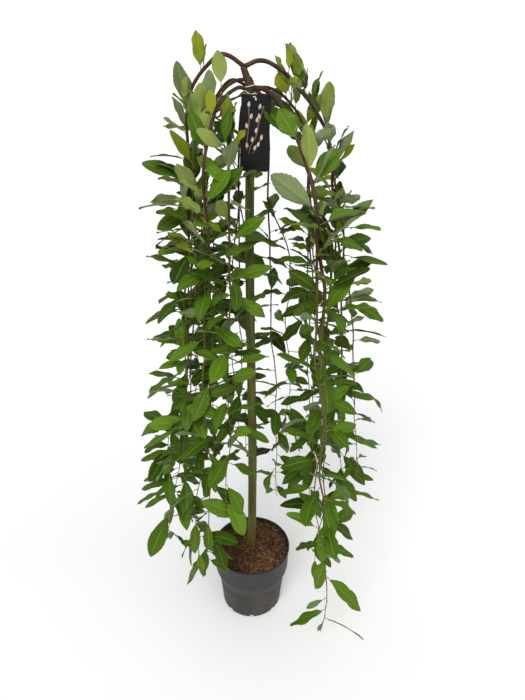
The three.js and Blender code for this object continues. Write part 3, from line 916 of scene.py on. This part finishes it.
class Room:
    """Where a leaf may be: in the crown's box and under its dome, clear of floor, stem, pot and tag."""

    def __init__(self):
        low, high = np.array(CAD_BOX)
        proud = 0.6 * (0.03 * (high - low) + 10 * MM)
        self.low, self.high = low - proud, high + proud * [1, 1, 0.2]
        self.low[2] = 3 * MM
        self.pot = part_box("pot")[1]
        self.stem_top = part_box("leader")[1][2]
        self.tag_low, self.tag_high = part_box("hang_tag")

    def holds(self, points):
        """True if no point of a leaf leaves the room."""
        x, y, z = points.T
        reach = np.hypot(x, y)
        outside = (points < self.low).any() or (points > self.high).any()
        in_pot = (reach < self.pot[0] + 2 * MM) & (z < self.pot[2] + 2 * MM)
        in_stem = (reach < STEM_ROOM) & (z < self.stem_top)
        beside_tag = (x > self.tag_low[0] + 6 * MM) & (x < self.tag_high[0] - 6 * MM)
        before_tag = beside_tag & (y < self.tag_high[1] + 4 * MM) & (z > self.tag_low[2] - 0.4 * y - 10 * MM)
        dome = self.high[2] - DOME_DROP - DOME_FALL * (np.maximum(0, reach - DOME_REACH) / (120 * MM)) ** 1.5
        return not (outside or (in_pot | in_stem | before_tag | (z > dome)).any())


def grow_leaf(heap, stalks, node, heading, look, room):
    """Adds a leaf, turned a little further each time that it has no room. False if it never has."""
    for _ in range(10):
        if add_leaf(heap, stalks, node, heading, look, room):
            return True
        look["azimuth"] += math.radians(rng.normal(0, 40))
        look["elevation"] += math.radians(rng.normal(0, 12))
    return False


LEAF_TURN = 137.5                       # degrees from one leaf round to the next
YOUNG_TIP = 0.05                        # length of a shoot's tip where leaves are small and close

# How widely the leaves are spaced at some heights, as shares of a shoot's gap.
CROWD_HEIGHTS = [0.40, 0.60, 0.75, 0.90, 1.02, 1.12]
CROWD_GAPS = [0.78, 0.92, 1.08, 0.92, 0.70, 0.66]


def dress(shoots, heap, stalks, buds, room):
    """Leaves, stalks and buds at the nodes of the shoots of one mass."""
    for shoot in shoots:
        distance = shoot.leafy_from + rng.uniform(0, 0.01)
        turn = rng.uniform(0, 2 * np.pi)
        total = shoot.reach[-1]
        bias = rng.normal(0, 0.35)
        while distance < total - 3 * MM:
            node, heading = shoot.at(distance), shoot.heading(distance)
            young = 0.6 if distance > total - YOUNG_TIP and not shoot.sprig else 1.0
            turn += math.radians(LEAF_TURN + rng.normal(0, 18))
            look = leaf_look(node[2], along_crown(turn, node), bias, young * rng.uniform(0.85, 1.05))
            look["shoot_radius"] = shoot.thick(distance)
            full = node[2] < shoot.plan.get("full_below", 0)
            bare = node[2] < shoot.plan.get("bare_below", 0)
            if not bare and rng.random() < (LEAFINESS if full else shoot.leafiness):
                grow_leaf(heap, stalks, node, heading, look, room)
            add_bud(buds, node, heading, look)
            crowd = 1 if shoot.sprig else np.interp(node[2], CROWD_HEIGHTS, CROWD_GAPS)
            distance += shoot.gap * rng.uniform(0.6, 1.4) * young * crowd


def add_notable(name, arch, heap, stalks):
    """The leaves that stand out on the first shoot of a mass."""
    crest = arch.reach[int(np.argmax(arch.path[:, 2]))]
    for height, azimuth, rise, roll, length, width, tint, browned in NOTABLE.get(name, []):
        distance = arch.where_below(height, crest)
        look = leaf_look(height, math.radians(azimuth), 0)
        look.update(
            elevation=math.radians(rise), roll=math.radians(roll), curl=math.radians(rng.normal(16, 6)),
            length=length * MM, width=width * MM, stalk=10 * MM, lift=0.2,
            upper=tint, under=tint if tint >= FIRST_UNDER else look["under"], browned=browned,
            shoot_radius=arch.thick(distance),
        )
        add_leaf(heap, stalks, arch.at(distance), arch.heading(distance), look, None)


def add_bud(heap, node, heading, look):
    """A pointed axillary bud, lying against the shoot above its leaf stalk."""
    _, along, _ = leaf_axes(look["azimuth"], 0, 0)
    size = rng.uniform(3.2, 5.2) * MM
    start = node + along * look["shoot_radius"] * 0.6
    direction = unit(along * 0.55 - heading)
    line = start + np.outer(np.array([-0.25, 0.0, 0.3, 0.6, 0.85, 1.0]) * size, direction)
    radii = np.array([0.55, 1.25, 1.35, 1.0, 0.55, 0.15]) * 0.225 * size
    add_tube(heap, line, radii, 5, int(rng.integers(0, 2)))


# ---- wood --------------------------------------------------------------------------

TRUNK_SIDES = 28
GRAFT_SWELL = 0.16
SCAR_GAP = 0.115              # between the scars of lost buds up the stem


def make_trunk():
    """Trunk and leader as one stem, with shallow ribs, scars of lost buds and a swollen graft."""
    trunk, trunk_radii = limb_line("trunk")
    leader, leader_radii = limb_line("leader")
    if trunk[0][2] > trunk[-1][2]:
        trunk, trunk_radii = trunk[::-1], trunk_radii[::-1]
    if leader[0][2] > leader[-1][2]:
        leader, leader_radii = leader[::-1], leader_radii[::-1]
    rough = np.vstack([trunk[0] - 2 * MM * UP, trunk[1:-1], leader[1:]])
    path = smooth_path(rough, 4 * MM)
    radii = np.interp(path[:, 2], np.concatenate([trunk[:, 2], leader[1:, 2]]),
                      np.concatenate([trunk_radii, leader_radii[1:]]))
    heights = path[:, 2]
    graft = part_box("leader")[0][2]
    radii = radii * (1 + GRAFT_SWELL * np.exp(-((heights - graft - 0.008) / 0.016) ** 2))
    turn = angles(TRUNK_SIDES)
    relief = 1 + 0.018 * np.sin(5 * turn[None, :] + 3 * np.sin(heights[:, None] * 9))
    relief = relief + 0.012 * np.sin(9 * turn[None, :] - heights[:, None] * 31)
    for height in np.arange(0.28, graft, SCAR_GAP):
        spot, place = rng.uniform(0, 2 * np.pi), height + rng.normal(0, 0.02)
        around = np.angle(np.exp(1j * (turn - spot)))[None, :]
        rise = ((heights - place) / 0.007)[:, None]
        relief = relief + 0.17 * np.exp(-(around / 0.5) ** 2 - rise ** 2)
        relief = relief + 0.035 * np.exp(-((heights - place) / 0.003) ** 2)[:, None]
    heap = Heap()
    add_tube(heap, path, radii, TRUNK_SIDES, 0, relief)
    piece = heap.build("trunk_with_leader", [trunk_bark()])
    settle(piece, "trunk_bark", "trunk", "leader")


def add_curl(heap, arch):
    """An old twig that curls back on itself where the front left arch turns down."""
    place = arch.where_below(1.300, arch.where_reach(0.09))
    centre, heading = arch.at(place), arch.heading(place)
    radius = 6.5 * MM
    turns = np.linspace(-0.6, 2 * np.pi * 1.15, 34)
    away = unit(np.array([0.9, -0.2, 0.25]))
    line = centre + away * radius + radius * (
        -np.outer(np.cos(turns), away) + np.outer(np.sin(turns), UP) - np.outer(turns, [0, 0.09, 0])
    )
    add_tube(heap, line, np.linspace(2.4, 1.3, 34) * MM, 8, 0)
    stub = centre + np.outer(np.linspace(0, 16, 6) * MM, unit(np.array([-0.9, -0.1, 0.12]))) - heading * MM
    add_tube(heap, stub, np.linspace(2.6, 1.5, 6) * MM, 8, 0)


def make_canes(grown):
    """All boughs and shoots, each swollen a little where its leaves leave it."""
    heap = Heap()
    for shoots in grown.values():
        for shoot in shoots:
            sides = 10 if shoot.radii[0] > 3 * MM else 8
            turn = angles(sides)
            relief = 1 + 0.05 * np.sin(3 * turn[None, :] + shoot.reach[:, None] * 90)
            knots = 1 + 0.09 * np.maximum(0, np.sin(shoot.reach * 2 * np.pi / max(shoot.gap, 24 * MM))) ** 6
            add_tube(heap, shoot.path, shoot.radii * knots, sides, 0, relief)
    add_curl(heap, grown["front_left"][0])
    piece = heap.build("boughs_and_shoots", [cane_bark()])
    settle(piece, "limb_bark", *[node for nodes in LIMB_NODES.values() for node in nodes])


STALK_TINTS = [(0.150, 0.210, 0.045), (0.190, 0.200, 0.050), (0.200, 0.110, 0.050)]
BUD_TINTS = [(0.330, 0.170, 0.030), (0.220, 0.110, 0.035)]


def make_foliage(grown):
    """One piece of leaves for each mass, and the stalks and buds as pieces of their own."""
    materials = leaf_materials()
    stalks, buds, room = Heap(), Heap(), Room()
    for name, shoots in grown.items():
        heap = Heap()
        add_notable(name, shoots[0], heap, stalks)
        dress(shoots, heap, stalks, buds, room)
        piece = heap.build(f"leaves_{name}", materials)
        settle(piece, "leaf", f"foliage_{name}")
    settle(stalks.build("leaf_stalks", plains("stalk", STALK_TINTS, 0.5)), "leaf")
    settle(buds.build("buds", plains("bud", BUD_TINTS, 0.45)), "limb_bark")


# ---- pot and compost ---------------------------------------------------------------

POT_WALL = 2.0 * MM
POT_FLOOR = 3.0 * MM
POT_LIP = 1.5 * MM
LIP_ROUND = 1.2 * MM
FOOT_ROUND = 4 * MM
POT_FOOT, POT_WAIST, POT_BAND = 0.790, 0.862, 0.972      # reaches as shares of the rim's
STEP_FOOT, STEP_RISE = 0.44, 0.27                        # shares of the pot's height
POT_SIDES = 144
DRAINS = 8
DRAIN_RADIUS = 6.5 * MM


def arc(centre, radius, first, last, steps=5):
    """Points on an arc between two angles in degrees."""
    turns = np.radians(np.linspace(first, last, steps))
    return [(centre[0] + radius * math.cos(t), centre[1] + radius * math.sin(t)) for t in turns]


def pot_line(rim, height):
    """The reach of the foot, and the reaches and heights of the step up to the wide band."""
    foot, waist, band = POT_FOOT * rim, POT_WAIST * rim, POT_BAND * rim
    step = [
        (waist + (band - waist) * s ** 2 * (3 - 2 * s), height * (STEP_FOOT + STEP_RISE * s))
        for s in np.linspace(0, 1, 14)
    ]
    return foot, step


def make_pot():
    """A thin round pot with a rounded foot, a step, a rolled rim and drain holes. Gives the band's reach."""
    low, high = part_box("pot")
    rim, height = high[0], high[2]
    foot, step = pot_line(rim, height)
    outside = [(foot - 9 * MM, 0), (foot - 8 * MM, 1.2 * MM), (foot - 5 * MM, 1.2 * MM)]
    outside += arc((foot - FOOT_ROUND, 5 * MM), FOOT_ROUND, -80, -5)
    outside += [(foot + 2.5 * MM, 0.2 * height), *step]
    outside += [(rim - POT_LIP - 0.6 * MM, height - 10 * MM), (rim - POT_LIP, height - 9 * MM)]
    outside += arc((rim - LIP_ROUND, height - LIP_ROUND - 5 * MM), LIP_ROUND, -60, 0, 4)
    outside += arc((rim - LIP_ROUND, height - LIP_ROUND), LIP_ROUND, 0, 90, 4)
    inside = arc((rim - 2 * LIP_ROUND, height - LIP_ROUND), LIP_ROUND, 90, 180, 4)
    inside += [(rim - POT_LIP - POT_WALL - 0.5 * MM, height - 10 * MM)]
    inside += [(r - POT_WALL, z) for r, z in step[::-1]]
    inside += [(foot - POT_WALL + 0.5 * MM, 5 * MM), (foot - 6 * MM, POT_FLOOR)]
    profile = np.array(outside + inside)
    turn = angles(POT_SIDES)
    rings = np.stack([
        profile[:, :1] * np.cos(turn), profile[:, :1] * np.sin(turn), np.repeat(profile[:, 1:], POT_SIDES, 1),
    ], -1)
    heap = Heap()
    count = len(profile)
    body = np.concatenate([rings.reshape(-1, 3), [[0, 0, 0], [0, 0, POT_FLOOR]]])
    heap.add(body, ring_faces(count, POT_SIDES))
    heap.faces(0, fan(count * POT_SIDES, 0, POT_SIDES, False), 0, False)
    heap.faces(0, fan(count * POT_SIDES + 1, (count - 1) * POT_SIDES, POT_SIDES, True), 0, True)
    pot = heap.build("nursery_pot", [pot_plastic()])
    cut_drains(pot, foot)
    settle(pot, "pot_plastic", "pot")
    return step[-1][0]


def cut_drains(pot, foot):
    """Drain holes through the foot's edge, the first at the front."""
    heap = Heap()
    for k in range(DRAINS):
        azimuth = math.radians(-90 + 360 / DRAINS * k)
        out = np.array([math.cos(azimuth), math.sin(azimuth), 0])
        line = [out * (foot - 15 * MM) + UP * 3.5 * MM, out * (foot + 9 * MM) + UP * 5.5 * MM]
        add_tube(heap, smooth_path(line, 6 * MM), DRAIN_RADIUS, 14)
    cutter = heap.build("drain_cutter", [])
    modifier = pot.modifiers.new("drains", "BOOLEAN")
    modifier.operation = "DIFFERENCE"
    modifier.object = cutter
    bpy.context.view_layer.update()
    evaluated = pot.evaluated_get(bpy.context.evaluated_depsgraph_get())
    mesh = bpy.data.meshes.new_from_object(evaluated)
    pot.modifiers.clear()
    pot.data = mesh
    bpy.data.objects.remove(cutter)


SOIL_DISH = 12 * MM           # how much lower the compost lies at the wall
SOIL_DEPTH = 50 * MM
SOIL_LUMP = 1.7 * MM
SOIL_RINGS, SOIL_SIDES = 46, 150
FIBRES = 2300
FIBRE_TINTS = [
    (0.36, 0.22, 0.10), (0.26, 0.135, 0.055), (0.16, 0.075, 0.032), (0.055, 0.026, 0.014),
    (0.016, 0.010, 0.007),
]


def lumpy(x, y, seed):
    """Slow uneven ground, between about -1 and 1."""
    phases = np.random.default_rng(seed).uniform(0, 6.3, (14, 2))
    total = np.zeros_like(x)
    for k, (a, b) in enumerate(phases):
        wave = 40 * 1.33 ** k
        total = total + np.sin(wave * (x * math.cos(a) + y * math.sin(a)) + b) / 1.22 ** k
    return total / 3


def compost_height(x, y):
    """The level of the compost, domed and lumpy, down to its edge at the wall."""
    reach = np.hypot(x, y) / EDGE
    level = SOIL_TOP - SOIL_DISH * reach ** 2
    return level + SOIL_LUMP * lumpy(x, y, 3) * np.minimum(1, 4 * np.abs(1 - reach)) - 1.2 * MM


def make_compost():
    """The compost's uneven top, with its side down into the pot."""
    rings, sides = SOIL_RINGS, SOIL_SIDES
    turn = angles(sides)
    reach = EDGE * np.linspace(1, 0.012, rings)
    x, y = reach[:, None] * np.cos(turn), reach[:, None] * np.sin(turn)
    top = np.stack([x, y, compost_height(x, y)], -1)
    side = np.stack([0.90 * x[0], 0.90 * y[0], np.full(sides, SOIL_TOP - SOIL_DEPTH)], -1)[None]
    body = np.concatenate([side, top]).reshape(-1, 3)
    heap = Heap()
    centre = np.array([[0, 0, SOIL_TOP - SOIL_DEPTH], [0, 0, compost_height(0.0, 0.0)]])
    heap.add(np.concatenate([body, centre]), ring_faces(rings + 1, sides))
    heap.faces(0, fan(len(body), 0, sides, False), 0, False)
    heap.faces(0, fan(len(body) + 1, rings * sides, sides, True), 0, True)
    piece = heap.build("compost_top", [compost_mix()])
    settle(piece, "compost", "compost")


def make_fibre():
    """Loose coir and crumbs that lie on the compost, in pale and dark patches, with painted shade near the
    wall and painted light towards the right and back.
    """
    fibre = Heap()
    for _ in range(FIBRES):
        distance, azimuth = (EDGE - 3 * MM) * math.sqrt(rng.random()), rng.uniform(0, 2 * np.pi)
        x, y = distance * math.cos(azimuth), distance * math.sin(azimuth)
        spot = np.array([x, y, compost_height(x, y) + 0.4 * MM])
        heading = unit(np.array([rng.normal(), rng.normal(), rng.normal(0, 0.30)]))
        length = rng.uniform(3, 13) * MM
        bow = np.cross(heading, UP) * rng.normal(0, 0.14) * length + UP * abs(rng.normal(0, 0.12)) * length
        line = [spot - heading * length / 2, spot + bow, spot + heading * length / 2]
        thick = rng.uniform(0.25, 0.75) * MM
        # Painted light and shade: fibres get paler tints towards +X and +Y, where the light falls, and darker
        # tints near the wall, where the rim shades them. lumpy adds real pale and dark patches.
        rim_shade = 1.6 * max(0, distance / EDGE - 0.72)
        light = lumpy(x * 0.55, y * 0.55, 5) + 11 * x + 5 * y > rng.normal(0.1, 0.55) + rim_shade
        kind = int(rng.integers(0, 3)) if light else int(rng.integers(2, 5))
        add_tube(fibre, smooth_path(line, length / 3.2), thick, 4, kind)
    settle(fibre.build("compost_fibre", plains("fibre", FIBRE_TINTS, 0.9, 0.2)), "compost")


# ---- hang tag ----------------------------------------------------------------------

# The printed twigs and catkins, in mm across from the tag's middle and down from its top. A
# catkin also has a lean in degrees.
TWIGS = [
    [(-12, -16), (-11, -45), (-15, -78), (-16, -96)],
    [(16, -20), (7, -48), (2, -70), (-8, -88), (-12, -102)],
    [(12, -74), (4, -88), (-4, -102)],
]
CATKINS = [
    (-12, -22, 8), (-8, -42, 12), (-15, -58, -6), (-15, -92, -4), (8, -26, 12), (9, -42, -14),
    (3, -48, 10), (1, -66, 12), (-6, -82, 10), (11, -78, 10), (4, -90, 22), (-2, -96, 18),
]
PRINT_HEIGHT = 0.45 * MM
STRING_RADIUS = 0.9 * MM


def make_tag():
    """A plain black card with a picture of catkin twigs in low relief, and its string."""
    low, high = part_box("hang_tag")
    middle, front, top = (low[0] + high[0]) / 2, low[1], high[2]
    heap = Heap()

    def on_card(x, z, proud=0.0):
        return np.array([middle + x * MM, front - proud * MM, top + z * MM])

    for twig in TWIGS:
        line = smooth_path([on_card(x, z, 0.1) for x, z in twig], 2 * MM)
        add_tube(heap, line, np.linspace(1.3, 0.8, len(line)) * MM, 6, 0)
    for x, z, lean in CATKINS:
        lean = math.radians(lean)
        axis = np.array([math.sin(lean), 0, math.cos(lean)])
        foot = on_card(x, z, 0.2)
        line = foot + np.outer(np.linspace(0, 10, 8) * MM, axis)
        radii = np.array([0.5, 1.9, 2.6, 2.9, 2.7, 2.2, 1.4, 0.4]) * MM
        add_tube(heap, line, radii, 8, 1)
        scale = foot + np.outer(np.linspace(-1.5, 3.5, 5) * MM, axis) - np.array([0, 0.2 * MM, 0])
        add_tube(heap, scale, np.array([0.4, 1.3, 1.9, 1.6, 0.5]) * MM, 7, 2)
    for block in heap.points:
        share = np.clip((front - block[:, 1] + 2.5 * MM) / (5 * MM), 0, 1)
        block[:, 1] = front + 0.05 * MM - PRINT_HEIGHT * share
    inks = [plain("print_twig", (0.25, 0.13, 0.07), 0.4), plain("print_catkin", (0.62, 0.56, 0.44), 0.4)]
    inks.append(plain("print_scale", (0.19, 0.045, 0.03), 0.4))
    settle(heap.build("tag_print", inks), "tag_card")
    card = Pattern("tag_card", 0.35)
    shade = card.noise(14, 3)
    card.colour(card.mix(card.ramp(shade, 0.3, 0.7), (0.003, 0.003, 0.005), (0.007, 0.007, 0.010)))
    card.shader.inputs["Specular IOR Level"].default_value = 0.25
    card.roughness(card.noise(90, 3), 0.28, 0.42)
    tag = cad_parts["hang_tag"]
    tag.data.materials.clear()
    tag.data.materials.append(card.material)
    make_string(on_card(0, -7))


def make_string(hole):
    """Pale string from the tag's hole round the leader, with two loose ends."""
    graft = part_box("leader")[0][2]
    turns = np.linspace(0, 2 * np.pi, 22)
    lines = []
    for height, radius, tilt in ((graft + 18 * MM, 10.6 * MM, 0.25), (graft + 3 * MM, 11.2 * MM, -0.2)):
        x, y = radius * np.cos(turns) - 2 * MM, radius * np.sin(turns)
        lines.append(np.stack([x, y, height + tilt * radius * np.sin(turns + 1)], -1))
    knot = np.array([1.5 * MM, -11.5 * MM, graft + 3 * MM])

    def strand(by_knot, *others):
        """A line from the knot by way of a point given from it in mm."""
        return [knot, knot + np.array(by_knot) * MM, *others]

    lines.append(strand((3, -4, 1), hole + np.array([1, -2, 1]) * MM, hole + np.array([0, 3, 0]) * MM))
    lines.append(strand((-2, -3, -1), hole + np.array([-2, -1, 2]) * MM, hole + np.array([0, 2.5, 0.5]) * MM))
    lines.append(strand((8, -4, 2), knot + np.array([13, -5, -7]) * MM))
    lines.append(strand((-7, -4, 4), knot + np.array([-11, -5, 7]) * MM))
    heap = Heap()
    for line in lines:
        add_tube(heap, smooth_path(line, 1.5 * MM), STRING_RADIUS, 6)
    string = Pattern("string", 0.85)
    string.colour(string.mix(string.noise(500, 2), (0.58, 0.54, 0.46), (0.84, 0.81, 0.73)))
    settle(heap.build("tag_string", [string.material]), "tag_card")


# ---- the whole plant ---------------------------------------------------------------

make_camera()
make_studio()
SOIL_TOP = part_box("compost")[1][2]
BAND_REACH = make_pot()
EDGE = BAND_REACH - POT_WALL + 0.6 * MM       # the compost runs a little into the wall
make_compost()
make_fibre()
make_trunk()
GROWN = {name: grow_shoots(name) for name in SHOOTS}
make_canes(GROWN)
make_foliage(GROWN)
make_tag()
